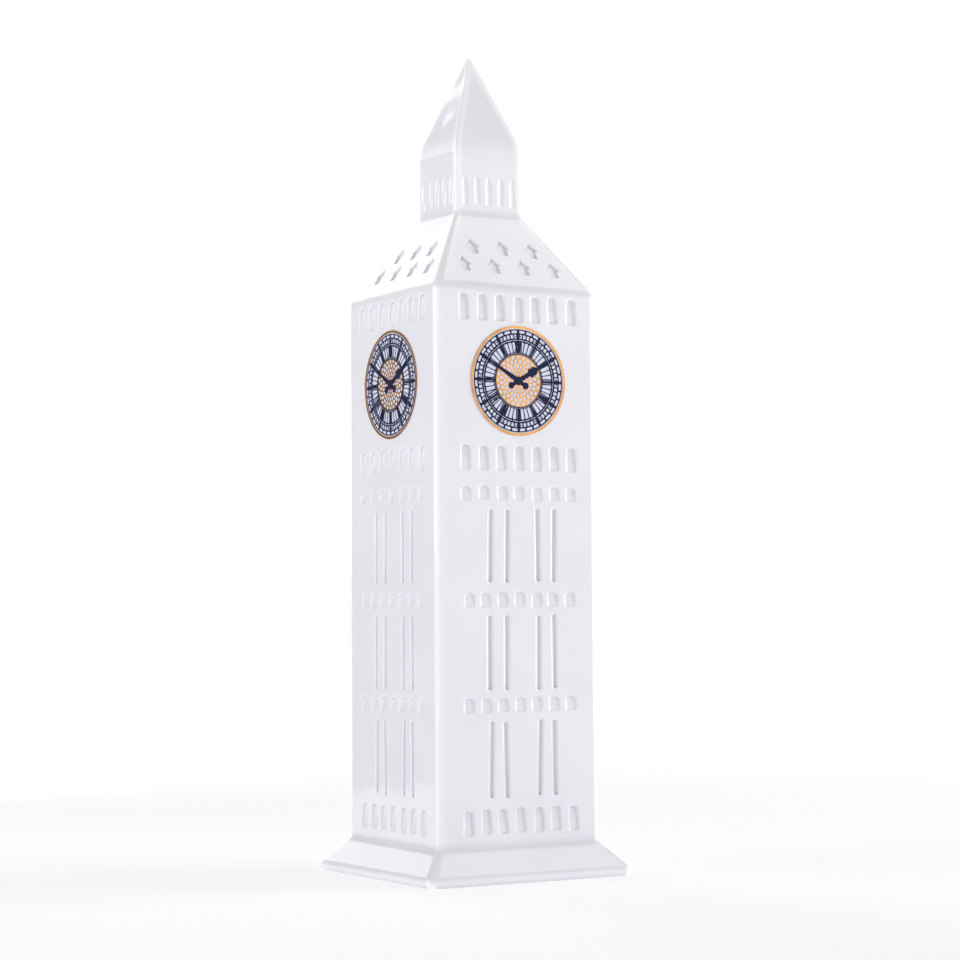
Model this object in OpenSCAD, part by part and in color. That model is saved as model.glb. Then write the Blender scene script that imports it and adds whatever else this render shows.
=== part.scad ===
// Miniature clock tower, hollow white glazed porcelain with printed clock dials.
// Origin: centre of the footprint, on the plane that it stands on. +Z up, the front face towards -Y.

/* [Plinth] */
// Width of the plinth at its widest, just above the foot
plinth_w = 79; // [74:0.5:86]
// Width of the foot that it stands on
foot_w = 77; // [70:0.5:84]
// Height of the splayed plinth
plinth_h = 11.4; // [9:0.2:16]
// Height of the widest line above the ground
edge_z = 2.5; // [1.5:0.1:3.5]
// Radius of the plinth's corners, seen from above
plinth_r = 3.2; // [1:0.1:5]

/* [Shaft] */
// Width of the square shaft
shaft_w = 62.2; // [58:0.2:68]
// Height of the shaft
shaft_h = 184; // [184:0.5:200]
// Radius of the shaft's upright corners
shaft_r = 2.6; // [1:0.1:3.4]
// Depth of the pressed windows
window_d = 1.2; // [0.4:0.1:2]
// Depth of the long pressed grooves
groove_d = 0.9; // [0.4:0.1:2]
// Width of a long groove
groove_w = 2; // [1:0.1:3]

/* [Roof] */
// Height of the hipped roof
roof_h = 27.2; // [22:0.2:34]
// Depth of the pressed dormers, square to the slope
dormer_d = 0.8; // [0.3:0.1:1.5]

/* [Belfry and spire] */
// Width of the square belfry
belfry_w = 25.9; // [24:0.1:30]
// Height of the belfry
belfry_h = 24.4; // [20:0.2:28]
// Radius of the belfry's upright corners
belfry_r = 1.2; // [0.5:0.1:2]
// Height of the spire
spire_h = 32; // [28:0.5:44]
// Flutes on each face of the belfry
flute_count = 5; // [3:1:5]

/* [Walls and joints] */
// Thickness of the cast walls
wall = 3.5; // [3:0.1:4.2]
// Thickness of the locating tongue at each joint
tongue_t = 1.4; // [1:0.1:2]
// Height of the locating tongue
tongue_h = 2.5; // [1.5:0.1:4]
// How far a joint lies past the crease it belongs to, on the upright wall
lip = 1.2; // [0.6:0.1:2]
// How far the joint below the spire lies past its softer crease
spire_lip = 3.6; // [1:0.1:5]
// Gap filled by slip around a tongue
slip_gap = 0.2; // [0.1:0.05:0.4]
// Diameter of the firing vent in the base plate
vent_d = 10; // [5:1:20]

/* [Dial] */
// Radius of the printed dial, over its gold rim
dial_r = 18.3; // [14:0.1:19.4]
// Height of the dial's centre above the ground
dial_z = 164.7; // [163:0.1:166]
// Thickness of the pale ground coat
ground_t = 0.15; // [0.1:0.05:0.3]
// Thickness of each coat printed over it
print_t = 0.1; // [0.05:0.05:0.2]
// Where the printed hour hand points, clockwise from twelve
hour_hand_deg = 60; // [0:1:359]
// Where the printed minute hand points, clockwise from twelve
minute_hand_deg = 300; // [0:1:359]

/* [Hidden] */
FACES = ["front", "left", "back", "right"];
$fn = 48;

porcelain = [0.95, 0.95, 0.96];
ground_tint = [0.85, 0.86, 0.94];
navy = [0.12, 0.14, 0.32];
gold = [0.86, 0.62, 0.26];

// Levels of the creases
roof_z = plinth_h + shaft_h;
belfry_z = roof_z + roof_h;
spire_z = belfry_z + belfry_h;
top_z = spire_z + spire_h;

// Joints between the castings, each on an upright wall just past a crease
shaft_foot = plinth_h + lip;
shaft_head = roof_z - lip;
belfry_foot = belfry_z + lip;
belfry_head = spire_z - spire_lip;

// Half widths
shaft_x = shaft_w / 2;
belfry_x = belfry_w / 2;
shaft_in = shaft_x - wall;
tongue_out = shaft_in - slip_gap;
tongue_in = tongue_out - tongue_t;
belfry_in = belfry_x - wall;
small_out = belfry_in - slip_gap;
small_in = small_out - tongue_t;

// The roof's slope, and how far its wall reaches across
roof_run = shaft_x - belfry_x;
roof_angle = atan(roof_h / roof_run);
roof_wall = wall / sin(roof_angle);
roof_fall = roof_run / roof_h;
throat_h = 3;

// The spire's slope and its blunt tip
tip_x = 0.4;
spire_fall = (belfry_x - tip_x) / spire_h;
spire_wall = wall / cos(atan(spire_fall));

// Base plate, let into the underside up to a ledge
plate_x = 32.8;
plate_z = 1.5;
plate_t = 3.5;
ledge_z = plate_z + plate_t;

// Rows of pressed windows: [foot above ground, height, width, spacing]
window_rows = [
    [183.6, 9.2, 4.2, 6.9],
    [134.2, 8.6, 4.3, 6.8],
    [124.2, 5.2, 4.6, 6.8],
    [89.2, 5.2, 4.7, 6.5],
    [54.6, 5.3, 4.7, 6.5],
    [14.8, 8.6, 4.4, 6.8]
];
windows_in_row = 7;

// Tiers of long grooves: [foot above ground, length], in two pairs across the face
groove_tiers = [[97.4, 25.2], [62, 25.4], [26.8, 25.8]];
groove_x = [-11.2, -4.8, 7.4, 13.6];

// Rows of dormers: [distance up the slope, how many, spacing]
dormer_rows = [[6.3, 4, 11.4], [14.5, 3, 11.6]];
dormer_w = 6;
dormer_body_w = 3.1;
dormer_body_h = 3;
dormer_h = 6.5;

// Flutes of the belfry
flute_pitch = 4.65;
flute_r = 1.6;
flute_sink = 0.9;
flute_z = 3.4;
flute_h = 8.6;
flute_tip = 2.8;

// Printed rings, as shares of the dial's radius
rim_in = 0.955;
outer_ring = 0.92;
hour_ring = 0.82;
minute_ring = 0.70;
numeral_out = 0.66;
numeral_in = 0.50;
heart_r = 0.455;
line = 0.35;
marker_w = 1.1;
hub_r = 1.3;
numerals = ["XII", "I", "II", "III", "IV", "V", "VI", "VII", "VIII", "IX", "X", "XI"];

// ---- Shapes used by several sub-parts ----

// A solid with a square section at every height, from [half width, z] points
module square_solid(profile) {
    outline = concat(profile, [for (i = [len(profile) - 1:-1:0]) [-profile[i][0], profile[i][1]]]);
    reach = 2 * max([for (p = profile) p[0]]) + 1;
    intersection() {
        rotate([90, 0, 0]) linear_extrude(reach, center = true) polygon(outline);
        rotate([90, 0, 90]) linear_extrude(reach, center = true) polygon(outline);
    }
}

// A square with round corners
module round_square(w, r) {
    square([w, w - 2 * r], center = true);
    square([w - 2 * r, w], center = true);
    for (x = [-1, 1], y = [-1, 1]) translate([x * (w / 2 - r), y * (w / 2 - r)]) circle(r);
}

// Puts a flat drawing on face i: x across, y up, thickness outwards from the given distance
module on_face(i, distance, thickness) {
    rotate([0, 0, -90 * i]) translate([0, -distance, 0]) rotate([90, 0, 0])
        linear_extrude(thickness) children();
}

// ---- Castings ----

module plinth() {
    tongue_top = shaft_foot + tongue_h;
    color(porcelain) difference() {
        union() {
            intersection() {
                square_solid([[foot_w / 2, 0], [plinth_w / 2, edge_z], [shaft_x, plinth_h]]);
                linear_extrude(plinth_h) round_square(plinth_w, plinth_r);
            }
            translate([0, 0, plinth_h - 1]) linear_extrude(lip + 1) round_square(shaft_w, shaft_r);
            translate([-tongue_out, -tongue_out, plinth_h])
                cube([2 * tongue_out, 2 * tongue_out, tongue_top - plinth_h]);
        }
        square_solid([
            [plate_x + slip_gap, -1], [plate_x + slip_gap, ledge_z],
            [tongue_in, ledge_z], [tongue_in, tongue_top + 1]
        ]);
    }
}

module base_plate() {
    color(porcelain) difference() {
        translate([-plate_x, -plate_x, plate_z]) cube([2 * plate_x, 2 * plate_x, plate_t]);
        translate([0, 0, plate_z - 1]) cylinder(d = vent_d, h = plate_t + 2);
    }
}

// An arched window, its foot at y = 0
module window_shape(w, h) {
    translate([-w / 2, 0]) square([w, h - w / 2]);
    translate([0, h - w / 2]) circle(w / 2);
}

// A long groove with round ends, its foot at y = 0
module groove_shape(h) {
    translate([-groove_w / 2, groove_w / 2]) square([groove_w, h - groove_w]);
    for (y = [groove_w / 2, h - groove_w / 2]) translate([0, y]) circle(groove_w / 2);
}

module face_windows() {
    for (row = window_rows, k = [0:windows_in_row - 1])
        translate([(k - (windows_in_row - 1) / 2) * row[3], row[0]]) window_shape(row[2], row[1]);
}

module face_grooves() {
    for (tier = groove_tiers, x = groove_x) translate([x, tier[0]]) groove_shape(tier[1]);
}

module shaft() {
    color(porcelain) difference() {
        translate([0, 0, shaft_foot])
            linear_extrude(shaft_head - shaft_foot) round_square(shaft_w, shaft_r);
        translate([-shaft_in, -shaft_in, plinth_h]) cube([2 * shaft_in, 2 * shaft_in, shaft_h]);
        for (i = [0:3]) {
            on_face(i, shaft_x - window_d, window_d + 1) face_windows();
            on_face(i, shaft_x - groove_d, groove_d + 1) face_grooves();
        }
    }
}

// A dormer: a gable with a narrower body below it, its foot at y = 0
module dormer_shape() {
    polygon([
        [-dormer_body_w / 2, 0], [dormer_body_w / 2, 0], [dormer_body_w / 2, dormer_body_h],
        [dormer_w / 2, dormer_body_h], [0, dormer_h], [-dormer_w / 2, dormer_body_h],
        [-dormer_body_w / 2, dormer_body_h]
    ]);
}

// Everything pressed into one slope of the roof
module roof_presses(i) {
    rotate([0, 0, -90 * i]) translate([0, -shaft_x, roof_z]) rotate([roof_angle, 0, 0])
        for (row = dormer_rows, k = [0:row[1] - 1])
            translate([(k - (row[1] - 1) / 2) * row[2], row[0], -dormer_d])
                linear_extrude(dormer_d + 1) dormer_shape();
}

module roof() {
    inner_start = roof_z + (shaft_x - roof_wall - tongue_in) / roof_fall;
    tongue_foot = shaft_head - tongue_h;
    color(porcelain) difference() {
        union() {
            intersection() {
                square_solid([[shaft_x, shaft_head], [shaft_x, roof_z], [belfry_x, belfry_z]]);
                translate([0, 0, shaft_head]) linear_extrude(lip + roof_h) round_square(shaft_w, shaft_r);
            }
            translate([-tongue_out, -tongue_out, tongue_foot])
                cube([2 * tongue_out, 2 * tongue_out, roof_z - tongue_foot]);
            translate([0, 0, belfry_z - 1]) linear_extrude(lip + 1) round_square(belfry_w, belfry_r);
        }
        square_solid([
            [tongue_in, tongue_foot - 1], [tongue_in, inner_start],
            [belfry_in, belfry_z - throat_h], [belfry_in, belfry_foot + 1]
        ]);
        for (i = [0:3]) roof_presses(i);
    }
}

// One upright hollow flute, with a pointed top
module flute() {
    cylinder(r = flute_r, h = flute_h);
    translate([0, 0, flute_h]) cylinder(r1 = flute_r, r2 = 0, h = flute_tip);
}

module belfry() {
    color(porcelain) difference() {
        union() {
            translate([0, 0, belfry_foot])
                linear_extrude(belfry_head - belfry_foot) round_square(belfry_w, belfry_r);
            translate([-small_out, -small_out, belfry_foot - tongue_h])
                cube([2 * small_out, 2 * small_out, tongue_h + 1]);
        }
        square_solid([
            [small_in, belfry_foot - tongue_h - 1], [small_in, belfry_foot + 1],
            [belfry_in, belfry_foot + 3], [belfry_in, belfry_head + 1]
        ]);
        for (i = [0:3], k = [0:flute_count - 1]) rotate([0, 0, -90 * i])
            translate([
                (k - (flute_count - 1) / 2) * flute_pitch,
                -belfry_x - flute_r + flute_sink,
                belfry_z + flute_z
            ]) flute();
    }
}

module spire() {
    hollow_start = spire_z + (belfry_x - spire_wall - small_in) / spire_fall;
    hollow_end = spire_z + (belfry_x - spire_wall - tip_x) / spire_fall;
    tongue_foot = belfry_head - tongue_h;
    color(porcelain) difference() {
        union() {
            intersection() {
                square_solid([[belfry_x, belfry_head], [belfry_x, spire_z], [tip_x, top_z]]);
                translate([0, 0, belfry_head]) linear_extrude(spire_lip + spire_h) round_square(belfry_w, belfry_r);
            }
            translate([-small_out, -small_out, tongue_foot])
                cube([2 * small_out, 2 * small_out, spire_z - tongue_foot]);
        }
        square_solid([[small_in, tongue_foot - 1], [small_in, hollow_start], [tip_x, hollow_end]]);
    }
}

// ---- Printed dial, in coats, drawn about the dial's centre ----

module ring_shape(r_out, r_in) {
    difference() {
        circle(r_out, $fn = 96);
        circle(r_in, $fn = 96);
    }
}

// Radial lines between two radii
module spokes(count, r_in, r_out, w) {
    for (k = [0:count - 1]) rotate(360 * k / count) translate([-w / 2, r_in]) square([w, r_out - r_in]);
}

module ground_shape() {
    circle(dial_r, $fn = 96);
}

module gold_shape() {
    ring_shape(dial_r, dial_r * rim_in);
    difference() {
        circle(dial_r * heart_r, $fn = 96);
        circle(0.09 * dial_r);
        for (k = [0:2], j = [0:8 + 7 * k]) rotate(360 * (j + k / 2) / (9 + 7 * k))
            translate([0, dial_r * (0.165 + 0.105 * k)]) circle(dial_r * 0.038);
    }
}

// A slanted stroke of a numeral, from x1 at its foot to x2 at its top
module stroke(x1, x2, h, w) {
    polygon([[x1 - w / 2, 0], [x1 + w / 2, 0], [x2 + w / 2, h], [x2 - w / 2, h]]);
}

// One letter of a numeral, centred on x = 0, its foot at y = 0
module letter(c, h) {
    lean = 0.5;
    if (c == "I") stroke(0, 0, h, 0.4);
    if (c == "V") {
        stroke(0, -lean, h, 0.4);
        stroke(0, lean, h, 0.4);
    }
    if (c == "X") {
        stroke(-lean, lean, h, 0.4);
        stroke(lean, -lean, h, 0.4);
    }
}

// Room that the letters before number n take
function letter_w(c) = c == "I" ? 0.8 : 1.6;
function width_to(word, n) = n == 0 ? 0 : width_to(word, n - 1) + letter_w(word[n - 1]);

module numeral(word, h) {
    for (n = [0:len(word) - 1])
        translate([width_to(word, n) + letter_w(word[n]) / 2 - width_to(word, len(word)) / 2, 0])
            letter(word[n], h);
}

// Middle of the line of a ring whose outer edge is at this share of the dial's radius
function mid_line(share) = dial_r * share - line / 2;

module hour_marker() {
    translate([-marker_w / 2, mid_line(minute_ring)])
        square([marker_w, mid_line(outer_ring) - mid_line(minute_ring)]);
}

module navy_shape() {
    for (share = [outer_ring, hour_ring, minute_ring, numeral_out, numeral_in])
        ring_shape(dial_r * share, dial_r * share - line);
    spokes(60, mid_line(minute_ring), mid_line(hour_ring), line);
    spokes(36, mid_line(hour_ring), mid_line(outer_ring), line);
    for (h = [0:11]) rotate(-30 * h) {
        hour_marker();
        translate([0, mid_line(numeral_in)])
            numeral(numerals[h], mid_line(numeral_out) - mid_line(numeral_in));
    }
}

// The short club-shaped tail behind the hub of a hand
module hand_tail() {
    polygon([[-0.5, hub_r / 2], [0.5, hub_r / 2], [1.1, -0.2 * dial_r], [-1.1, -0.2 * dial_r]]);
}

module minute_hand() {
    tip = dial_r * 0.86;
    polygon([[-0.7, -hub_r / 2], [0.7, -hub_r / 2], [0.2, tip], [-0.2, tip]]);
    hand_tail();
}

module hour_hand() {
    tip = dial_r * 0.56;
    polygon([[-0.6, -hub_r / 2], [0.6, -hub_r / 2], [0.5, tip * 0.55], [-0.5, tip * 0.55]]);
    polygon([[0, tip * 0.42], [1.7, tip * 0.64], [0, tip], [-1.7, tip * 0.64]]);
    hand_tail();
}

module hands_shape() {
    circle(hub_r);
    rotate(-minute_hand_deg) minute_hand();
    rotate(-hour_hand_deg) hour_hand();
}

// One coat of face i's dial: level counts the coats below it
module dial_coat(i, level) {
    below = level == 0 ? 0 : ground_t + (level - 1) * print_t;
    on_face(i, shaft_x + below, level == 0 ? ground_t : print_t) translate([0, dial_z]) children();
}

module dial_ground(i) {
    color(ground_tint) dial_coat(i, 0) ground_shape();
}

module dial_gold(i) {
    color(gold) dial_coat(i, 1) gold_shape();
}

module dial_navy(i) {
    color(navy) dial_coat(i, 1) navy_shape();
}

module dial_hands(i) {
    color(navy) dial_coat(i, 2) hands_shape();
}

// ---- Nodes ----

plinth();
base_plate();
shaft();
roof();
belfry();
spire();
for (i = [0:3]) {
    dial_ground(i);
    dial_gold(i);
    dial_navy(i);
    dial_hands(i);
}
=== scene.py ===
# %% [markdown]
# # A porcelain clock tower
# The object is a hollow ornament of white glazed porcelain. Five castings are stacked on stepped
# joints: plinth, shaft, roof, belfry and spire. Its windows were pressed into the soft clay, and a
# clock dial is printed and fired on each of its four faces. Here the castings are swept and pressed
# again with soft edges, because glaze never leaves a sharp one, and the dials are drawn in full.

# %% Load the frame
import random
from math import atan2, cos, hypot, pi, radians, sin, tan

import bpy
from mathutils import Matrix, Vector


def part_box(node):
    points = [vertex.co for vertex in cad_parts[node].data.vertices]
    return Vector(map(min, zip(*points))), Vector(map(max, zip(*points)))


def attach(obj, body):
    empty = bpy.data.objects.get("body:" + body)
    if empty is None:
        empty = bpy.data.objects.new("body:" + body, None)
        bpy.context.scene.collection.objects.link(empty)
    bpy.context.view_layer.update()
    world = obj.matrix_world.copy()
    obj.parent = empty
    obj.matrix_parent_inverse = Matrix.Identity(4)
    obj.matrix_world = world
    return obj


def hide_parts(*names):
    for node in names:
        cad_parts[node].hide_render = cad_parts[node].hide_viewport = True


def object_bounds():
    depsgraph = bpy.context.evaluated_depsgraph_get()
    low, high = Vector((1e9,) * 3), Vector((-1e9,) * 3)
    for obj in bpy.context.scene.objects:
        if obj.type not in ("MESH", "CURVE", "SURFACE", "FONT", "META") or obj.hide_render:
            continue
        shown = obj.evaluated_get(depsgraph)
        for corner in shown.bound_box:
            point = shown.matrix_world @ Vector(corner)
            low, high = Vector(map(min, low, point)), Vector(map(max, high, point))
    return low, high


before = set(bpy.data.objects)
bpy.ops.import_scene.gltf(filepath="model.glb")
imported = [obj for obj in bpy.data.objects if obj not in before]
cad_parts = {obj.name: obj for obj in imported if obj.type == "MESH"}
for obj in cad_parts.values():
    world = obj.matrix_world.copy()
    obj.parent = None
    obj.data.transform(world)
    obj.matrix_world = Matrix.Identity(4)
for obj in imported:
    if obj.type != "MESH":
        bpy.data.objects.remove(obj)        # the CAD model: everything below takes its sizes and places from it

MM = 0.001
cad_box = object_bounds()
print("CAD box in mm:", [[round(v / MM, 1) for v in corner] for corner in cad_box])

# %% [markdown]
# ## Where the castings meet
# Each joint lies on an upright wall a little past a crease, so the crease belongs to one casting
# and can be rounded without leaving a groove at the joint. The heights come from the CAD pieces.

# %% Levels and half widths
LIP = 1.2 * MM                       # from a crease to the joint beside it
SPIRE_LIP = 3.6 * MM                 # the same below the spire, whose crease is softer
TONGUE_H = 2.5 * MM                  # height of the locating tongues
TONGUE_T = 1.4 * MM                  # thickness of the locating tongues
SLIP = 0.2 * MM                      # slip around a tongue
WALL = 3.5 * MM                      # thickness of the cast walls
HAIR = 0.1 * MM                      # keeps a curve or a face clear of its neighbour
NEAR = 0.01 * MM                     # points this close in height are on one level
MERGE = 0.004 * MM                   # points closer than this become one

shaft_lo, shaft_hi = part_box("shaft")
belfry_lo, belfry_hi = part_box("belfry")
plinth_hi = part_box("plinth")[1]
plate_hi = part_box("base_plate")[1]

shaft_x = shaft_hi[0]
belfry_x = belfry_hi[0]
plinth_x = plinth_hi[0]
plate_x = plate_hi[0]
top_z = cad_box[1][2]

shaft_foot = shaft_lo[2]
shaft_head = shaft_hi[2]
belfry_foot = belfry_lo[2] + TONGUE_H
belfry_head = belfry_hi[2]
plinth_crease = shaft_foot - LIP
eaves = shaft_head + LIP
belfry_crease = belfry_foot - LIP
spire_crease = belfry_head + SPIRE_LIP
print("creases in mm:", [round(z / MM, 1) for z in (plinth_crease, eaves, belfry_crease, spire_crease)])

# %% [markdown]
# ## Working cleanly
# Operators act on whatever is selected, and loading the frame leaves the CAD pieces selected. So
# every piece starts with nothing selected, and ends back in object mode with its place in its mesh.

# %% Helpers for starting and finishing a piece
def start_clean():
    """Object mode, nothing selected."""
    if bpy.context.mode != "OBJECT":
        bpy.ops.object.mode_set(mode="OBJECT")
    bpy.ops.object.select_all(action="DESELECT")


def pick(*objects):
    """Selects these objects, the last one active."""
    start_clean()
    for obj in objects:
        obj.select_set(True)
    bpy.context.view_layer.objects.active = objects[-1]


def settle(obj, name):
    """Leaves edit mode, names the object and moves its place into its mesh."""
    pick(obj)
    bpy.ops.object.transform_apply(location=True, rotation=True, scale=True)
    obj.name = name
    obj.data.name = name
    return obj


def select_verts(obj, wanted):
    """In edit mode, selects the vertices for which wanted(position) is true."""
    bpy.ops.mesh.select_mode(type="VERT")
    bpy.ops.mesh.select_all(action="DESELECT")
    bpy.ops.object.mode_set(mode="OBJECT")
    for vert in obj.data.vertices:
        vert.select = wanted(vert.co)
    bpy.ops.object.mode_set(mode="EDIT")


def copy_of(obj):
    """A copy with its own mesh, selected and active."""
    pick(obj)
    bpy.ops.object.duplicate(linked=False)
    return bpy.context.active_object


def joined(objects, name):
    """All these objects as one."""
    pick(*objects)
    bpy.ops.object.join()
    return settle(bpy.context.active_object, name)


# %% [markdown]
# ## Sweeping a square wall
# A square casting is the same all the way round, so its wall can be described by half of its
# section: a list of points (half width, height). It could be a cube that is inset and extruded, but
# its corners and creases would then be rounded one by one. Here one square loop of edges with round
# corners is extruded from point to point and scaled each time. This is how a potter's template would
# run the wall, and it keeps the round corners in step with the width, up to the tip of the spire.

# %% The section's round corners, and the sweep
CORNER_STEPS = 8


def rounded(before, corner, after, radius, steps=6):
    """Points of an arc of this radius in place of a corner of a section."""
    a = Vector((before[0] - corner[0], before[1] - corner[1])).normalized()
    b = Vector((after[0] - corner[0], after[1] - corner[1])).normalized()
    half_angle = a.angle(b) / 2
    centre = Vector(corner) + (a + b).normalized() * radius / sin(half_angle)
    first = Vector(corner) + a * radius / tan(half_angle) - centre
    last = Vector(corner) + b * radius / tan(half_angle) - centre
    turn = first.angle_signed(last)
    arc = []
    for i in range(steps + 1):
        angle = -turn * i / steps
        spoke = Matrix.Rotation(angle, 2) @ first
        arc.append(tuple(centre + spoke))
    return arc


def eased(before, corner, after, start, end, steps=8):
    """Points of a curve that leaves its first side at start and meets the next at end from the corner."""
    corner = Vector(corner)
    first = corner + (Vector(before) - corner).normalized() * start
    last = corner + (Vector(after) - corner).normalized() * end
    shares = [i / steps for i in range(steps + 1)]
    return [tuple(first * (1 - t) ** 2 + corner * 2 * t * (1 - t) + last * t ** 2) for t in shares]


def square_loop(half, z, corner):
    """A square loop of edges with round corners, in edit mode and selected."""
    start_clean()
    bpy.ops.mesh.primitive_plane_add(size=2 * half, location=(0, 0, 0))
    bpy.ops.object.mode_set(mode="EDIT")
    bpy.ops.transform.translate(value=(0, 0, z))
    bpy.ops.mesh.bevel(offset=corner, segments=CORNER_STEPS, affect="VERTICES", profile=0.5)
    bpy.ops.mesh.delete(type="ONLY_FACE")
    bpy.ops.mesh.select_all(action="SELECT")
    return bpy.context.active_object


def sweep(section):
    """Extrudes the selected loop through the points of a section. Returns its last point."""
    half, z = section[0]
    for next_half, next_z in section[1:]:
        bpy.ops.mesh.extrude_region_move(TRANSFORM_OT_translate={"value": (0, 0, next_z - z)})
        scale = next_half / half
        bpy.ops.transform.resize(value=(scale, scale, 1), center_override=(0, 0, next_z))
        half, z = next_half, next_z


def close_wall(obj, name):
    """Joins the sweep's ends and turns all faces outwards."""
    bpy.ops.mesh.select_all(action="SELECT")
    bpy.ops.mesh.remove_doubles(threshold=MERGE)
    bpy.ops.mesh.normals_make_consistent(inside=False)
    print(name, "swept with", len(obj.data.vertices), "points")
    return settle(obj, name)


# %% [markdown]
# ## Plinth and shaft walls
# The plinth is splayed, with a soft widest line just above the foot, and carries the ledge that the
# base plate is luted to. The shaft is a plain tube until its windows are pressed.

# %% Plinth and shaft
EDGE_Z = 2.5 * MM                    # height of the plinth's widest line
FOOT_IN = 1.0 * MM                   # how far the foot tucks in below it
LEDGE_Z = plate_hi[2]
CORNER_R = 2.6 * MM                  # radius of the shaft's upright corners
NEAR_JOINT = LIP - HAIR              # where a crease's curve starts on the side of its joint
SPLAY_EASE = 3.2 * MM                # how far the upper crease's curve runs down the splay
EDGE_R = 2.4 * MM                    # radius of the plinth's widest line
FOOT_R = 0.7 * MM                    # radius under its foot
POCKET_R = 0.6 * MM                  # radius at the mouth of the base plate's pocket

shaft_in = shaft_x - WALL
tongue_out = shaft_in - SLIP
tongue_in = tongue_out - TONGUE_T


def plinth_wall():
    crease = (shaft_x, plinth_crease)
    widest = (plinth_x, EDGE_Z)
    foot = (plinth_x - FOOT_IN, 0)
    pocket = plate_x + SLIP
    start = (shaft_x, shaft_foot)
    section = [start]
    section += eased(start, crease, widest, NEAR_JOINT, SPLAY_EASE)
    section += rounded(crease, widest, foot, EDGE_R)
    section += rounded(widest, foot, (pocket, 0), FOOT_R)
    section += rounded(foot, (pocket, 0), (pocket, LEDGE_Z), POCKET_R)
    section += [(pocket, LEDGE_Z), (tongue_in, LEDGE_Z), (tongue_in, plinth_hi[2])]
    section += [(tongue_out, plinth_hi[2]), (tongue_out, shaft_foot), start]
    wall = square_loop(*start, CORNER_R)
    sweep(section)
    return close_wall(wall, "glazed_plinth")


def shaft_wall():
    start = (shaft_x, shaft_foot)
    section = [start, (shaft_x, shaft_head), (shaft_in, shaft_head), (shaft_in, shaft_foot), start]
    wall = square_loop(*start, CORNER_R)
    sweep(section)
    return close_wall(wall, "glazed_shaft")


plinth = plinth_wall()
shaft = shaft_wall()

# %% [markdown]
# ## Roof, belfry and spire walls
# The roof carries both of its creases: the convex one at the eaves and the hollow one at the foot of
# the belfry. The belfry is a short tube that narrows inside to its tongue. The spire could be a cone
# with four sides, but it is hollow and blunt, so it is swept too: first from its joint round the
# tongue and up the inside, then from the joint up the outside. Merging a loop closes each tip.

# %% Roof, belfry and spire
SLOPE_EASE = 4.5 * MM                # how far the curve of a convex crease runs up the slope
HOLLOW_EASE = 4.0 * MM               # how far the hollow crease's curve runs down the roof
THROAT = 3.0 * MM                    # straight depth inside, below the roof's hollow crease
BELFRY_STEP = (1 * MM, 3 * MM)       # heights above its foot between which the belfry widens inside
TIP_R = 0.6 * MM                     # radius of the spire's blunt tip
TIP_OVER = 1.0 * MM                  # the spire's sides aim this far above the tip
TIP_STEPS = 5
TIP_END = 0.02 * TIP_R               # half width of the last loop, before it is merged to a point

belfry_in = belfry_x - WALL
small_out = belfry_in - SLIP
small_in = small_out - TONGUE_T
roof_slope = atan2(belfry_crease - eaves, shaft_x - belfry_x)
spire_slope = atan2(top_z + TIP_OVER - spire_crease, belfry_x)
print("slopes in radians: roof", round(roof_slope, 3), "spire", round(spire_slope, 3))


def roof_wall():
    start = (shaft_x, shaft_head)
    low, high = (shaft_x, eaves), (belfry_x, belfry_crease)
    joint = (belfry_x, belfry_foot)
    throat_z = belfry_crease - THROAT
    inside_x = tongue_in - HAIR
    inside_z = eaves + (shaft_x - WALL / sin(roof_slope) - inside_x) * tan(roof_slope)
    section = [start]
    section += eased(start, low, high, NEAR_JOINT, SLOPE_EASE)
    section += eased(low, high, joint, HOLLOW_EASE, NEAR_JOINT)
    section += [joint, (belfry_in, belfry_foot), (belfry_in, throat_z), (tongue_in, inside_z)]
    section += [(tongue_in, shaft_head - TONGUE_H), (tongue_out, shaft_head - TONGUE_H)]
    section += [(tongue_out, shaft_head), start]
    wall = square_loop(*start, CORNER_R)
    sweep(section)
    return close_wall(wall, "glazed_roof")


def belfry_wall():
    start = (belfry_x, belfry_foot)
    tongue_z = belfry_foot - TONGUE_H
    section = [start, (belfry_x, belfry_head), (belfry_in, belfry_head)]
    section += [(belfry_in, belfry_foot + BELFRY_STEP[1]), (small_in, belfry_foot + BELFRY_STEP[0])]
    section += [(small_in, tongue_z), (small_out, tongue_z), (small_out, belfry_foot), start]
    wall = square_loop(*start, CORNER_R * belfry_x / shaft_x)
    sweep(section)
    return close_wall(wall, "glazed_belfry")


def spire_wall():
    start = (belfry_x, belfry_head)
    crease = (belfry_x, spire_crease)
    lean = pi / 2 - spire_slope
    turns = [lean + (pi / 2 - lean) * k / TIP_STEPS for k in range(TIP_STEPS)]
    tip = [(TIP_R * cos(a), top_z - TIP_R + TIP_R * sin(a)) for a in turns]
    tip.append((TIP_END, top_z))
    tongue_z = belfry_head - TONGUE_H
    wall_across = WALL / sin(spire_slope)
    hollow_z = spire_crease + (belfry_x - wall_across - small_in) * tan(spire_slope)
    hollow_top = spire_crease + (belfry_x - wall_across) * tan(spire_slope)
    wall = square_loop(*start, CORNER_R * belfry_x / shaft_x)
    sweep([start, (small_out, belfry_head), (small_out, tongue_z), (small_in, tongue_z),
           (small_in, hollow_z), (HAIR, hollow_top)])
    bpy.ops.mesh.merge(type="CENTER")
    select_verts(wall, lambda co: abs(co.z - belfry_head) < NEAR
                 and max(abs(co.x), abs(co.y)) > small_out + HAIR)
    sweep([start] + eased(start, crease, tip[0], SPIRE_LIP - HAIR, SLOPE_EASE) + tip)
    bpy.ops.mesh.merge(type="CENTER")
    return close_wall(wall, "glazed_spire")


roof = roof_wall()
belfry = belfry_wall()
spire = spire_wall()

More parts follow.
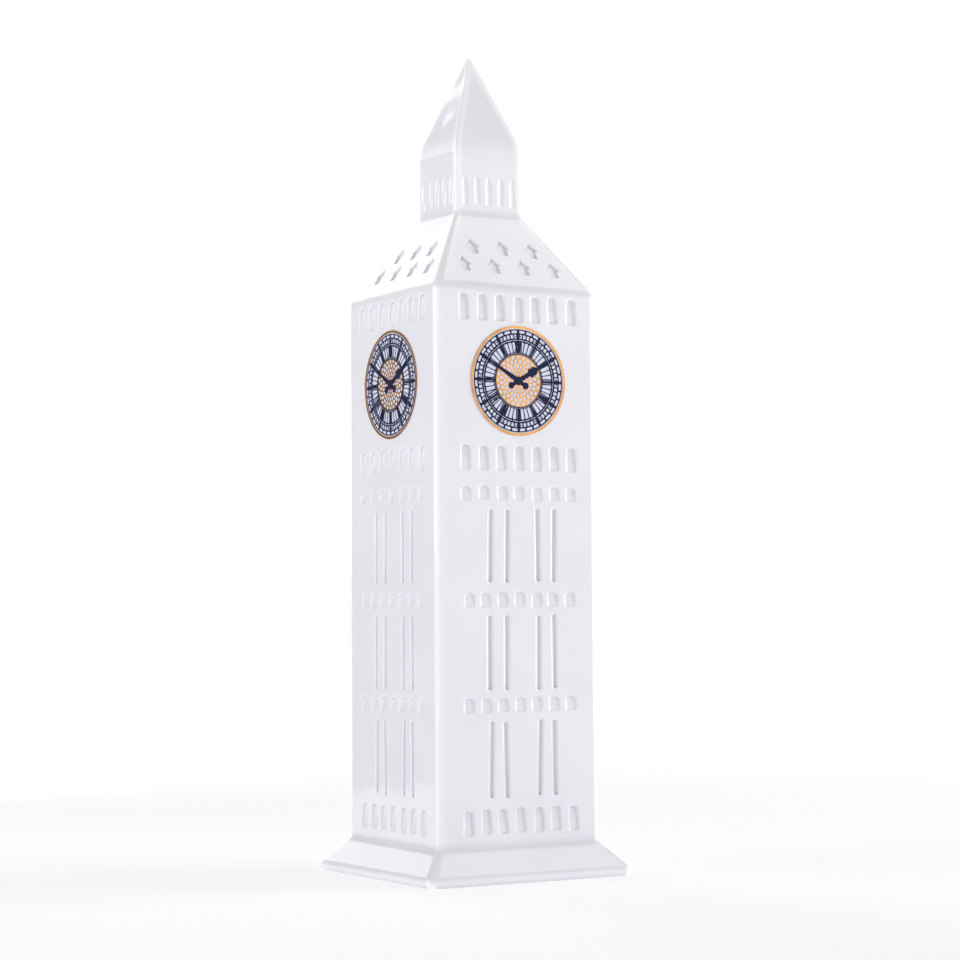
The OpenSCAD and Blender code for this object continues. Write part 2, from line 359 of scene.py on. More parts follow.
# %% [markdown]
# ## Pressing tools
# The windows, grooves, dormers and flutes were pressed into the clay, and glaze rounded their rims
# and filled their corners. Beveling hundreds of cut edges is slow and fails where edges crowd. It is
# surer to give the tool itself the soft shape: a flat outline is inset again and again, each time a
# little further in and a little deeper, so that its wall starts as the rounded rim, goes down steeply
# and ends as the rounded floor. One boolean cut then leaves the finished, soft hollow.

# %% The profile of a pressing tool
STAND_OFF = 0.6 * MM                 # how far a tool stands out of the surface it is pressed into
RIM_START = -0.01 * MM               # where the rim begins, just above the surface
RIM = [                              # the rounded rim, as (slope in degrees, length in mm)
    (3, 0.24), (7, 0.22), (13, 0.20), (24, 0.18), (40, 0.16), (58, 0.16),
]
DRAFT = radians(72)                  # slope of the wall below the rim
FLOOR_TURNS = (0.65, 0.3, 0.0)       # the wall's slope at each step of the curve to the floor, as a share
FOOT_PART = 0.3                      # the share of a tool's height that is pressed least
FOOT_REACH = 0.8                     # how far up this is felt, as a share of the height


def soft_profile(depth, floor_r):
    """(inset, depth) points down a pressed wall, from outside the rim to the edge of the floor."""
    points = [(0, RIM_START)]
    for slope, length in RIM:
        inset, low = points[-1]
        points.append((inset + length * MM * cos(radians(slope)), low + length * MM * sin(radians(slope))))
    inset, low = points[-1]
    drop = depth - low - floor_r * (1 - cos(DRAFT))
    inset, low = inset + drop / tan(DRAFT), low + drop
    points.append((inset, low))
    for share in FLOOR_TURNS:
        a = DRAFT * share
        points.append((inset + floor_r * (sin(DRAFT) - sin(a)), low + floor_r * (cos(a) - cos(DRAFT))))
    return points


def sink(tool, profile):
    """Makes the flat outline, in edit mode, a pressing tool that points down from the surface."""
    low = -profile[0][1]
    bpy.ops.mesh.extrude_region_move(TRANSFORM_OT_translate={"value": (0, 0, low - STAND_OFF)})
    bpy.ops.mesh.select_all(action="SELECT")
    bpy.ops.mesh.normals_make_consistent(inside=False)
    select_verts(tool, lambda co: co.z < low + NEAR)
    for before, after in zip(profile, profile[1:]):
        bpy.ops.mesh.inset(thickness=after[0] - before[0], depth=after[1] - before[1])


def shallow_at_foot(tool, height, share):
    """Makes the tool press less and less deep towards its foot, down to this share."""
    select_verts(tool, lambda co: co.z > 0)
    bpy.ops.mesh.hide(unselected=False)
    select_verts(tool, lambda co: co.y < FOOT_PART * height and co.z < 0)
    bpy.ops.transform.resize(value=(1, 1, share), center_override=(0, 0, 0), use_proportional_edit=True,
                             proportional_edit_falloff="SMOOTH", proportional_size=FOOT_REACH * height)
    bpy.ops.mesh.reveal(select=False)


# %% [markdown]
# ## Windows and grooves
# On the real tower these are shallow, arched hollows in rows, with long grooves between them. Each
# could be drawn as a curve, but a plane with its corners rounded by a vertex bevel does as well and
# keeps few points. So one function makes the tall windows, the small arches and the long grooves.

# %% Tools for windows and grooves
HEAD_STEPS = 6                       # steps of a rounded corner at the head
FOOT_STEPS = 4                       # and at the foot
RIM_OUT = 0.70 * MM                  # how far the soft rim spreads outside a window's edge
TALL = 1.5                           # a window counts as tall above this share of its width
TALL_HEAD = 0.90                     # width of a tall window's head, as a share of its foot
SMALL_HEAD = 0.96                    # the same for a small window
HEAD_ROUND = 0.42                    # radius of a window's upper corners, as a share of its head
WINDOW_FOOT_R = 1.75 * MM            # radius of its lower corners
WINDOW_FLOOR_R = 0.48 * MM           # radius between its wall and its floor
GROOVE_ROUND = 0.44                  # radius of a groove's corners, as a share of its width
GROOVE_FLOOR_R = 0.38 * MM           # radius between its wall and its floor


def pane(width, height, top_width, top_r, foot_r):
    """A flat upright outline, its foot at y = 0, in edit mode and selected."""
    start_clean()
    bpy.ops.mesh.primitive_plane_add(size=1, location=(0, 0, 0))
    tool = bpy.context.active_object
    bpy.ops.object.mode_set(mode="EDIT")
    bpy.ops.transform.resize(value=(width, height, 1))
    bpy.ops.transform.translate(value=(0, height / 2, STAND_OFF))
    select_verts(tool, lambda co: co.y > height / 2)
    bpy.ops.transform.resize(value=(top_width / width, 1, 1), center_override=(0, height, STAND_OFF))
    bpy.ops.mesh.bevel(offset=top_r, segments=HEAD_STEPS, affect="VERTICES", profile=0.5)
    select_verts(tool, lambda co: co.y < NEAR)
    bpy.ops.mesh.bevel(offset=foot_r, segments=FOOT_STEPS, affect="VERTICES", profile=0.5)
    bpy.ops.mesh.select_all(action="SELECT")
    return tool


def window_tool(width, height, depth, foot_share, name):
    """A tool for an arched window, deepest at its head."""
    wide, tall = width + 2 * RIM_OUT, height + 2 * RIM_OUT
    top = wide * (TALL_HEAD if height > TALL * width else SMALL_HEAD)
    tool = pane(wide, tall, top, HEAD_ROUND * top, WINDOW_FOOT_R)
    sink(tool, soft_profile(depth, WINDOW_FLOOR_R))
    shallow_at_foot(tool, tall, foot_share)
    return settle(tool, name)


def groove_tool(width, height, depth, name):
    """A tool for a long groove with round ends."""
    wide = width + 2 * RIM_OUT
    tool = pane(wide, height + 2 * RIM_OUT, wide, GROOVE_ROUND * wide, GROOVE_ROUND * wide)
    sink(tool, soft_profile(depth, GROOVE_FLOOR_R))
    return settle(tool, name)


# %% [markdown]
# ## Pressing the shaft
# Each row has one tool, copied seven times. The copies are nudged and turned a hair, always by the
# same seeded amounts, because the model for the mould was carved by hand. One face's tools are laid
# out, the set is copied to the other three faces, and one exact boolean cuts them all.

# %% Laying tools out and pressing them in
HAND_SLIP = 0.22 * MM                # how far a hand-carved window strays
HAND_TURN = radians(1.5)             # and how far it turns
SHARP = radians(40)                  # a fold over this angle is shaded as a sharp edge
FLAT_WEIGHT = 80                     # how strongly large faces decide the shading, out of 100

carver = random.Random(11)


def lay(tool, x, y):
    """A copy of the tool at this place on its face, a hair off, as by hand."""
    copy = copy_of(tool)
    copy.location = (x + carver.uniform(-1, 1) * HAND_SLIP, y + carver.uniform(-1, 1) * HAND_SLIP, 0)
    copy.rotation_euler.z = carver.uniform(-1, 1) * HAND_TURN
    return copy


def remove(*objects):
    """Takes these objects out of the scene."""
    for obj in objects:
        bpy.data.objects.remove(obj, do_unlink=True)


def on_four_faces(tools, stand_up, distance, z, name):
    """One face's tools, stood up against the front face and copied to all four."""
    face_set = joined(tools, name)
    face_set.rotation_euler.x = stand_up
    face_set.location = (0, -distance, z)
    face_set = settle(face_set, name)
    sets = [face_set]
    for turn in (1, 2, 3):
        copy = copy_of(face_set)
        copy.rotation_euler.z = turn * pi / 2
        sets.append(copy)
    return joined(sets, name)


def press(wall, tools):
    """Cuts the tools' shape out of the wall."""
    pick(wall)
    cut = wall.modifiers.new("press", "BOOLEAN")
    cut.operation = "DIFFERENCE"
    cut.solver = "EXACT"
    cut.object = tools
    bpy.ops.object.modifier_apply(modifier=cut.name)
    remove(tools)
    print(wall.name, "pressed:", len(wall.data.polygons), "faces")


def soft_shading(wall):
    """Smooth shading that leaves the large flats flat."""
    pick(wall)
    bpy.ops.object.shade_smooth_by_angle(angle=SHARP)
    weigh = wall.modifiers.new("weigh", "WEIGHTED_NORMAL")
    weigh.keep_sharp = True
    weigh.weight = FLAT_WEIGHT
    bpy.ops.object.modifier_apply(modifier=weigh.name)


# %% The shaft's rows of windows and grooves
WINDOW_ROWS = [   # (foot, height, width, spacing, depth in mm, share of the depth left at the foot)
    (183.7, 9.2, 4.2, 6.9, 1.3, 0.45),
    (134.2, 8.7, 4.3, 6.8, 1.3, 0.35),
    (124.3, 5.2, 4.5, 6.8, 1.2, 0.25),
    (89.3, 5.3, 4.6, 6.5, 1.2, 0.25),
    (54.7, 5.3, 4.6, 6.5, 1.2, 0.25),
    (14.9, 8.7, 4.4, 6.8, 1.3, 0.35),
]
WINDOWS_IN_ROW = 7
ROW_X = 0.3 * MM                     # the rows sit a touch to one side
GROOVE_TIERS = [(97.5, 24.5), (62.1, 24.9), (26.9, 25.3)]   # (foot, length) in mm
GROOVE_XS = [-11.2, -4.8, 7.4, 13.6]                        # places across the face in mm
GROOVE_W = 2.0 * MM
GROOVE_D = 0.95 * MM
RIM_DOWN = 0.38 * MM                 # the soft rims spread this far below a foot


def shaft_tools():
    """All tools for the shaft, on its four faces."""
    laid = []
    for foot, height, width, spacing, depth, share in WINDOW_ROWS:
        tool = window_tool(width * MM, height * MM, depth * MM, share, "window_tool")
        for k in range(WINDOWS_IN_ROW):
            across = (k - (WINDOWS_IN_ROW - 1) / 2) * spacing * MM
            laid.append(lay(tool, ROW_X + across, foot * MM - RIM_DOWN))
        remove(tool)
    for foot, length in GROOVE_TIERS:
        tool = groove_tool(GROOVE_W, length * MM, GROOVE_D, "groove_tool")
        for x in GROOVE_XS:
            laid.append(lay(tool, x * MM, foot * MM - RIM_DOWN))
        remove(tool)
    return on_four_faces(laid, pi / 2, shaft_x, 0, "shaft_tools")


press(shaft, shaft_tools())
soft_shading(shaft)

# %% [markdown]
# ## Dormers on the roof
# A dormer is a small gable on a narrower body, pressed into the slope in two staggered rows. Its
# outline could be typed in as points, but it grows more simply from the body: its top edge is
# extruded twice, once wider and once to a point, and the faces are dissolved into one.

# %% Dormers
DORMER_ROWS = [(6.2, 4, 11.4), (14.3, 3, 11.6)]   # (foot up the slope, how many, spacing) in mm
DORMER_W = 6.7 * MM                  # width of the gable
DORMER_H = 7.3 * MM                  # height to its point
DORMER_BODY_W = 3.6 * MM
DORMER_BODY_H = 3.0 * MM
DORMER_CUT = [                       # (inset, depth) in mm, from the rim to the floor
    (-0.12, -0.05), (0.15, 0.04), (0.23, 0.13), (0.30, 0.32), (0.39, 0.60), (0.45, 0.69), (0.57, 0.77),
    (0.67, 0.80),
]
GABLE_STEP = 0.15 * MM               # rise from the body's corners to the ends of the gable


def gable_outline(body_w, body_h, wide, height):
    """A flat outline of a body with a pointed head, its foot at y = 0, in edit mode."""
    start_clean()
    bpy.ops.mesh.primitive_plane_add(size=1, location=(0, 0, 0))
    tool = bpy.context.active_object
    bpy.ops.object.mode_set(mode="EDIT")
    bpy.ops.transform.resize(value=(body_w, body_h, 1))
    bpy.ops.transform.translate(value=(0, body_h / 2, STAND_OFF))
    select_verts(tool, lambda co: co.y > body_h / 2)
    if wide > body_w:
        bpy.ops.mesh.extrude_region_move(TRANSFORM_OT_translate={"value": (0, GABLE_STEP, 0)})
        bpy.ops.transform.resize(value=(wide / body_w, 1, 1), center_override=(0, 0, 0))
        body_h += GABLE_STEP
    bpy.ops.mesh.extrude_region_move(TRANSFORM_OT_translate={"value": (0, height - body_h, 0)})
    bpy.ops.mesh.merge(type="CENTER")
    bpy.ops.mesh.select_all(action="SELECT")
    bpy.ops.mesh.dissolve_faces()
    bpy.ops.mesh.select_all(action="SELECT")
    return tool


def roof_tools():
    """All dormer tools, on the roof's four slopes."""
    tool = gable_outline(DORMER_BODY_W, DORMER_BODY_H, DORMER_W, DORMER_H)
    sink(tool, [(inset * MM, depth * MM) for inset, depth in DORMER_CUT])
    tool = settle(tool, "dormer_tool")
    laid = []
    for up, count, spacing in DORMER_ROWS:
        for k in range(count):
            laid.append(lay(tool, (k - (count - 1) / 2) * spacing * MM, up * MM))
    remove(tool)
    return on_four_faces(laid, roof_slope, shaft_x, eaves, "roof_tools")


press(roof, roof_tools())

# %% [markdown]
# ## Flutes of the belfry
# The belfry's openings are upright hollows with pointed heads, as if cut with a gouge. They use the
# dormer's outline without its wider gable, and a rounder profile with no flat floor. With the last
# cut made, the castings are shaded smooth, and weighted normals keep their flats flat.

# %% Flutes
FLUTES = 5                           # on each face
FLUTE_PITCH = 4.65 * MM
FLUTE_W = 3.4 * MM
FLUTE_BODY_H = 8.4 * MM
FLUTE_H = 12.0 * MM
FLUTE_FOOT = 3.0 * MM                # above the crease at the foot of the belfry
FLUTE_FOOT_SHARE = 0.3               # share of the depth left at a flute's foot
GOUGE = [                            # (inset, depth) in mm of a round-bottomed cut
    (-0.12, -0.05), (0.10, 0.0), (0.32, 0.05), (0.56, 0.15), (0.80, 0.29), (1.05, 0.41), (1.30, 0.49),
    (1.52, 0.52),
]


def belfry_tools():
    """All flute tools, on the belfry's four faces."""
    tool = gable_outline(FLUTE_W, FLUTE_BODY_H, FLUTE_W, FLUTE_H)
    sink(tool, [(inset * MM, depth * MM) for inset, depth in GOUGE])
    shallow_at_foot(tool, FLUTE_H, FLUTE_FOOT_SHARE)
    tool = settle(tool, "flute_tool")
    laid = [lay(tool, (k - (FLUTES - 1) / 2) * FLUTE_PITCH, FLUTE_FOOT) for k in range(FLUTES)]
    remove(tool)
    return on_four_faces(laid, pi / 2, belfry_x, belfry_crease, "belfry_tools")


press(belfry, belfry_tools())
for wall in (plinth, roof, belfry, spire):
    soft_shading(wall)

# %% [markdown]
# ## The printed dials
# Each dial is a fired transfer, printed in coats: a pale ground, gold, navy, and the hands over the
# rest. The navy coat is a net of rings and bars with pale cells showing through. It is made as a
# transfer artist would draw it: a radial line is spun into a polar grid, the grid's faces that lie
# in a cell are deleted, and what remains is given the thickness of the print.

# %% Sizes of the dial, and which parts of the grid are cells
dial_lo, dial_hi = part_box("front_dial_ground")
DIAL_R = dial_hi[0]
dial_z = (dial_lo[2] + dial_hi[2]) / 2
GROUND_T = 0.15 * MM                 # thickness of the ground coat
PRINT_T = 0.10 * MM                  # thickness of each printed coat
NET_SHARE = 0.9                      # the net is a little thinner than the strokes printed with it
HALF_DEGREES = 720                   # steps of the grid
HOUR_STEPS = HALF_DEGREES // 12

LONG_CELLS = [(3, 18), (22, 38), (42, 57)]                       # in half degrees from the hour line
SHORT_CELLS = [(4, 12), (15, 23), (26, 34), (37, 45), (48, 56)]
GAP_CELLS = [(2, 19), (21, 39), (41, 58)]
PANELS = [(4, 6), (9, 21), (24, 36), (39, 51), (54, 56)]
GRID = [                             # (inner edge as a share of the radius, cells, steps their ends draw in)
    (0.475, None, 0), (0.494, GAP_CELLS, 0), (0.503, None, 0),
    (0.517, PANELS, 1), (0.525, PANELS, 0), (0.697, PANELS, 1), (0.705, None, 0),
    (0.732, GAP_CELLS, 0), (0.746, None, 0),
    (0.773, SHORT_CELLS, 1), (0.781, SHORT_CELLS, 0), (0.799, SHORT_CELLS, -1), (0.818, SHORT_CELLS, 0),
    (0.836, SHORT_CELLS, 1), (0.844, None, 0),
    (0.868, LONG_CELLS, 1), (0.876, LONG_CELLS, 0), (0.910, LONG_CELLS, 1), (0.918, None, 0),
]
NET_EDGE = 0.938                     # outer edge of the net, as a share of the radius
NOTCH = 5                            # steps that a notch reaches into the cells beside an hour bar
print("dial radius in mm:", round(DIAL_R / MM, 2), "centre height:", round(dial_z / MM, 2))


def in_cell(step, cells, draw_in):
    """Whether this step of a ring lies in a pale cell."""
    if cells is None:
        return False
    place = step % HOUR_STEPS
    for first, last in cells:
        if draw_in < 0 and first == cells[0][0]:
            first += NOTCH
        if draw_in < 0 and last == cells[-1][1]:
            last -= NOTCH
        shrink = max(draw_in, 0)
        if first + shrink <= place < last - shrink:
            return True
    return False


# %% [markdown]
# ## The net
# The net could be cut from a disc with hundreds of cutters, but a cut that size is slow and fragile.
# Spinning one line into a grid and deleting faces is exact, and leaves clean rings and bars.

# %% Net
def thicken(obj, thickness, name):
    """Gives the flat faces, in edit mode, a thickness upwards."""
    bpy.ops.mesh.select_all(action="SELECT")
    bpy.ops.mesh.extrude_region_move(TRANSFORM_OT_translate={"value": (0, 0, thickness)})
    bpy.ops.mesh.select_all(action="SELECT")
    bpy.ops.mesh.normals_make_consistent(inside=False)
    return settle(obj, name)


def net():
    """The navy net of rings and bars, flat, about the dial's centre."""
    edges = [share * DIAL_R for share, cells, draw_in in GRID] + [NET_EDGE * DIAL_R]
    start_clean()
    bpy.ops.mesh.primitive_plane_add(size=1, location=(0, 0, 0))
    obj = bpy.context.active_object
    bpy.ops.object.mode_set(mode="EDIT")
    bpy.ops.mesh.merge(type="CENTER")
    bpy.ops.transform.translate(value=(0, edges[0], 0))
    for near, far in zip(edges, edges[1:]):
        bpy.ops.mesh.extrude_region_move(TRANSFORM_OT_translate={"value": (0, far - near, 0)})
    bpy.ops.mesh.select_all(action="SELECT")
    bpy.ops.mesh.spin(steps=HALF_DEGREES, angle=2 * pi, center=(0, 0, 0), axis=(0, 0, -1))
    bpy.ops.mesh.select_all(action="SELECT")
    bpy.ops.mesh.remove_doubles(threshold=MERGE)
    bpy.ops.mesh.select_mode(type="FACE")
    bpy.ops.mesh.select_all(action="DESELECT")
    bpy.ops.object.mode_set(mode="OBJECT")
    for face in obj.data.polygons:
        middle = face.center
        step = int((atan2(middle.x, middle.y) % (2 * pi)) / (2 * pi) * HALF_DEGREES)
        ring = sum(1 for edge in edges if edge < middle.xy.length) - 1
        face.select = in_cell(step, *GRID[ring][1:])
    bpy.ops.object.mode_set(mode="EDIT")
    bpy.ops.mesh.delete(type="FACE")
    return thicken(obj, PRINT_T * NET_SHARE, "net")


# %% [markdown]
# ## Numerals and hour markers
# These are straight strokes laid on the net. A text object could set the numerals, but it would bring
# in a typeface, and a dial's numerals are plain broad and fine strokes. A stroke is a strip: one edge
# is extruded along its length and scaled at each stop, so the same function also draws the hands.

# %% Strips, numerals and markers
def strip(stops, thickness, name):
    """A flat strip along +Y through stops of (distance, half width), with a thickness."""
    start_clean()
    bpy.ops.mesh.primitive_plane_add(size=1, location=(0, 0, 0))
    obj = bpy.context.active_object
    bpy.ops.object.mode_set(mode="EDIT")
    along, half = stops[0]
    select_verts(obj, lambda co: co.y > 0)
    bpy.ops.mesh.delete(type="VERT")
    bpy.ops.mesh.select_all(action="SELECT")
    bpy.ops.transform.resize(value=(2 * half, 1, 1), center_override=(0, 0, 0))
    bpy.ops.transform.translate(value=(0, along + 0.5, 0))
    for next_along, next_half in stops[1:]:
        bpy.ops.mesh.extrude_region_move(TRANSFORM_OT_translate={"value": (0, next_along - along, 0)})
        bpy.ops.transform.resize(value=(next_half / half, 1, 1), center_override=(0, 0, 0))
        along, half = next_along, next_half
    return thicken(obj, thickness, name)


def turned(obj, angle):
    """Turns the piece clockwise about the dial's centre."""
    obj.rotation_euler.z = -angle
    return settle(obj, obj.name)


BAR = 0.0102 * DIAL_R                # half width of a numeral's stroke
BROAD = 1.2 * BAR                    # the same for the broad stroke of a V or an X
FINE = 0.8 * BAR                     # and for its fine stroke
LETTER_SIDE = 0.2                    # share of a letter's room left free on each side
HOUR_DEGREES = 30
MARKER_SHARE = 0.95                  # the markers' thickness, as a share of the print's
NUMERAL_FOOT = 0.512 * DIAL_R
NUMERAL_TOP = 0.712 * DIAL_R
NUMERALS = ["XII", "I", "II", "III", "IIII", "V", "VI", "VII", "VIII", "IX", "X", "XI"]
ADVANCE = {"I": 0.044, "V": 0.084, "X": 0.084}     # room each letter takes, as a share of the radius


def leaning_stroke(foot_x, head_x, half):
    """A stroke across the numeral band from foot_x to head_x."""
    rise = NUMERAL_TOP - NUMERAL_FOOT
    stroke = strip([(0, half), (hypot(rise, head_x - foot_x), half)], PRINT_T, "stroke")
    stroke.rotation_euler.z = -atan2(head_x - foot_x, rise)
    stroke.location = (foot_x, NUMERAL_FOOT, 0)
    return settle(stroke, "stroke")


def numeral(letters):
    """Strokes of a numeral that stands on the inner ring at twelve o'clock."""
    x = -sum(ADVANCE[letter] for letter in letters) / 2 * DIAL_R
    strokes = []
    for letter in letters:
        room = ADVANCE[letter] * DIAL_R
        left, right = x + LETTER_SIDE * room, x + (1 - LETTER_SIDE) * room
        if letter == "I":
            strokes.append(leaning_stroke(x + room / 2, x + room / 2, BAR))
        elif letter == "V":
            strokes.append(leaning_stroke(x + room / 2, left, BROAD))
            strokes.append(leaning_stroke(x + room / 2, right, FINE))
        else:
            strokes.append(leaning_stroke(right, left, BROAD))
            strokes.append(leaning_stroke(left, right, FINE))
        x += room
    return joined(strokes, "numeral")


def hour_marker():
    """The bar and the cross over the two outer bands, with the fine line down through the numerals."""
    bar = [(0.700, 0.013), (0.752, 0.013), (0.765, 0.026), (0.778, 0.013), (0.806, 0.013), (0.832, 0.040),
           (0.845, 0.046), (0.858, 0.040), (0.872, 0.018), (0.900, 0.018), (0.912, 0.034), (0.932, 0.034)]
    return strip([(along * DIAL_R, half * DIAL_R) for along, half in bar], PRINT_T * MARKER_SHARE, "marker")


def navy_coat():
    """The net with its markers and numerals."""
    parts = [net()]
    for hour, letters in enumerate(NUMERALS):
        parts.append(turned(hour_marker(), radians(HOUR_DEGREES * hour)))
        parts.append(turned(numeral(letters), radians(HOUR_DEGREES * hour)))
    return joined(parts, "printed_navy")


# %% [markdown]
# ## Gold and ground coats
# The ground is a thin pale disc with a soft edge. The rim is a gold ring, and the heart of the dial is
# a gold lattice. Its holes could be deleted from a grid like the net's, but they are oval. So one oval
# cutter is copied round the rings of holes, and all copies are cut out of a thin disc at once.

# %% Gold and ground
RIM_IN = 0.955                       # inner edge of the gold rim, as a share of the radius
HEART_R = 0.472 * DIAL_R
DISC_STEPS = 144
HOLE_STEPS = 14
CUTTER_T = 4 * PRINT_T               # a cutter goes well through the print
GROUND_SOFT = 0.06 * MM              # how far the ground's edge is rounded
HEART_HOLES = [   # (radius, half width, half length, how many, turn as a share of the spacing)
    (0.428, 0.0370, 0.0320, 24, 0.0), (0.352, 0.0320, 0.0440, 24, 0.5), (0.268, 0.0250, 0.0420, 24, 0.0),
    (0.192, 0.0240, 0.0330, 18, 0.5), (0.128, 0.0210, 0.0250, 12, 0.0),
]


def disc(radius, thickness, steps, name):
    """A thin disc that lies on z = 0."""
    start_clean()
    bpy.ops.mesh.primitive_cylinder_add(vertices=steps, radius=radius, depth=thickness,
                                        location=(0, 0, thickness / 2))
    return settle(bpy.context.active_object, name)


def gold_coat():
    """The pierced heart and the rim."""
    heart = disc(HEART_R, PRINT_T, DISC_STEPS, "heart")
    holes = []
    for share, half_w, half_l, count, turn in HEART_HOLES:
        start_clean()
        bpy.ops.mesh.primitive_cylinder_add(vertices=HOLE_STEPS, radius=DIAL_R, depth=CUTTER_T,
                                            location=(0, 0, 0))
        hole = bpy.context.active_object
        bpy.ops.transform.resize(value=(half_w, half_l, 1))
        hole.location.y = share * DIAL_R
        hole = settle(hole, "hole")
        for k in range(count):
            holes.append(turned(copy_of(hole), 2 * pi * (k + turn) / count))
        remove(hole)
    press(heart, joined(holes, "heart_holes"))
    rim = disc(DIAL_R, PRINT_T, DISC_STEPS, "rim")
    press(rim, disc(RIM_IN * DIAL_R, CUTTER_T, DISC_STEPS, "rim_hole"))
    return joined([heart, rim], "printed_gold")


def ground_coat():
    """The pale disc under the other coats."""
    ground = disc(DIAL_R, GROUND_T, DISC_STEPS, "printed_ground")
    pick(ground)
    bpy.ops.object.mode_set(mode="EDIT")
    select_verts(ground, lambda co: co.z > 0.5 * GROUND_T)
    bpy.ops.mesh.bevel(offset=GROUND_SOFT, segments=2, affect="EDGES")
    return settle(ground, "printed_ground")


# %% [markdown]
# ## Hands
# The minute hand is a plain taper that points at the tenth hour. The hour hand points at the second:
# a wavy stem, then a broad leaf with two lobes and a fine point. Both have a short club of a tail.
# A hand is one strip whose half width is given at each stop. The hub is the thickest of the three,
# then the minute hand, so that no two tops lie at one height and flicker.

# %% Hands
# stops of (distance from the hub, half width), as shares of the dial's radius
MINUTE_HAND = [
    (-0.235, 0.008), (-0.215, 0.050), (-0.165, 0.068), (-0.125, 0.040), (-0.060, 0.036), (0.0, 0.052),
    (0.10, 0.046), (0.30, 0.034), (0.52, 0.026), (0.70, 0.019), (0.84, 0.014), (0.88, 0.004),
]
HOUR_HAND = [
    (-0.240, 0.006), (-0.210, 0.046), (-0.170, 0.066), (-0.130, 0.036), (-0.060, 0.036), (0.0, 0.050),
    (0.090, 0.040), (0.115, 0.052), (0.140, 0.040), (0.170, 0.036), (0.200, 0.048), (0.225, 0.038),
    (0.255, 0.040), (0.275, 0.070), (0.305, 0.092), (0.335, 0.078), (0.350, 0.062), (0.372, 0.086),
    (0.400, 0.080), (0.430, 0.052), (0.470, 0.030), (0.510, 0.016), (0.62, 0.013), (0.700, 0.010),
]
MINUTE_ANGLE = radians(300)
HOUR_ANGLE = radians(60)
HUB_R = 0.080 * DIAL_R
HUB_STEPS = 48
HOUR_SHARE = 0.70                    # thickness of the hour hand, as a share of the print's
MINUTE_SHARE = 0.85                  # and of the minute hand


def hands_coat():
    """Both hands and their hub."""
    sized = [[(along * DIAL_R, half * DIAL_R) for along, half in hand] for hand in (HOUR_HAND, MINUTE_HAND)]
    hour = turned(strip(sized[0], HOUR_SHARE * PRINT_T, "hour"), HOUR_ANGLE)
    minute = turned(strip(sized[1], MINUTE_SHARE * PRINT_T, "minute"), MINUTE_ANGLE)
    hub = disc(HUB_R, PRINT_T, HUB_STEPS, "hub")
    return joined([hour, minute, hub], "printed_hands")


# %% [markdown]
# ## One dial on each face
# A coat is drawn once, lying flat, and copied to the four faces, as four transfers from one sheet.
# Each copy is stood up, pushed out to the height of the coats below it and turned round the tower.

# %% Four dials
FACE_TURNS = [("front", 0), ("left", -1), ("back", 2), ("right", 1)]


def on_each_face(coat, below, label):
    """Stands the coat up on the front face and copies it to the other three."""
    placed = {}
    for face, turn in FACE_TURNS:
        copy = copy_of(coat)
        copy.rotation_euler.x = pi / 2
        copy.location = (0, -shaft_x - below, dial_z)
        copy = settle(copy, face + "_" + label)
        copy.rotation_euler.z = turn * pi / 2
        placed[face] = settle(copy, face + "_" + label)
    remove(coat)
    print(label, "faces each:", len(placed["front"].data.polygons))
    return placed


grounds = on_each_face(ground_coat(), 0, "print_ground")
golds = on_each_face(gold_coat(), GROUND_T, "print_gold")
navies = on_each_face(navy_coat(), GROUND_T, "print_navy")
hands = on_each_face(hands_coat(), GROUND_T + PRINT_T, "print_hands")

# %% [markdown]
# ## Small helpers for materials
# Every finish here is built from the same few nodes: noise, a bump, a mix of two colours and a range
# that is spread out. The noise reads Object coordinates, in metres, so a pattern has a real size and
# stays on the piece. What is the same all over is set on the shader's own sockets.

# %% Nodes for the finishes
def new_material(name):
    """A material with its nodes, links and main shader."""
    material = bpy.data.materials.new(name)
    material.use_nodes = True
    nodes = material.node_tree.nodes
    return material, nodes, material.node_tree.links, nodes["Principled BSDF"]


def noise(nodes, links, place, size, detail=2.0):
    """Noise with features of about this size, in metres."""
    node = nodes.new("ShaderNodeTexNoise")
    node.inputs["Scale"].default_value = 1 / size
    node.inputs["Detail"].default_value = detail
    links.new(place.outputs["Object"], node.inputs["Vector"])
    return node


def bump(nodes, links, height, depth, below=None):
    """A bump of this depth in metres, laid over another bump."""
    node = nodes.new("ShaderNodeBump")
    node.inputs["Strength"].default_value = 1.0
    node.inputs["Distance"].default_value = depth
    links.new(height.outputs[0], node.inputs["Height"])
    if below:
        links.new(below.outputs["Normal"], node.inputs["Normal"])
    return node


def mixed(nodes, links, factor, first, second):
    """A colour between two, by a factor socket."""
    node = nodes.new("ShaderNodeMix")
    node.data_type = "RGBA"
    links.new(factor, node.inputs["Factor"])
    for name, colour in (("A", first), ("B", second)):
        socket = next(i for i in node.inputs if i.name == name and i.type == "RGBA")
        if isinstance(colour, tuple):
            socket.default_value = (*colour, 1)
        else:
            links.new(colour, socket)
    return next(o for o in node.outputs if o.type == "RGBA")


def spread(nodes, links, value, low, high):
    """A value from 0 at low to 1 at high, smoothed."""
    node = nodes.new("ShaderNodeMapRange")
    node.interpolation_type = "SMOOTHSTEP"
    node.inputs["From Min"].default_value = low
    node.inputs["From Max"].default_value = high
    links.new(value, node.inputs["Value"])
    return node.outputs["Result"]


def set_sockets(shader, values):
    """Sets the shader's own sockets, by name."""
    for name, value in values.items():
        shader.inputs[name].default_value = value
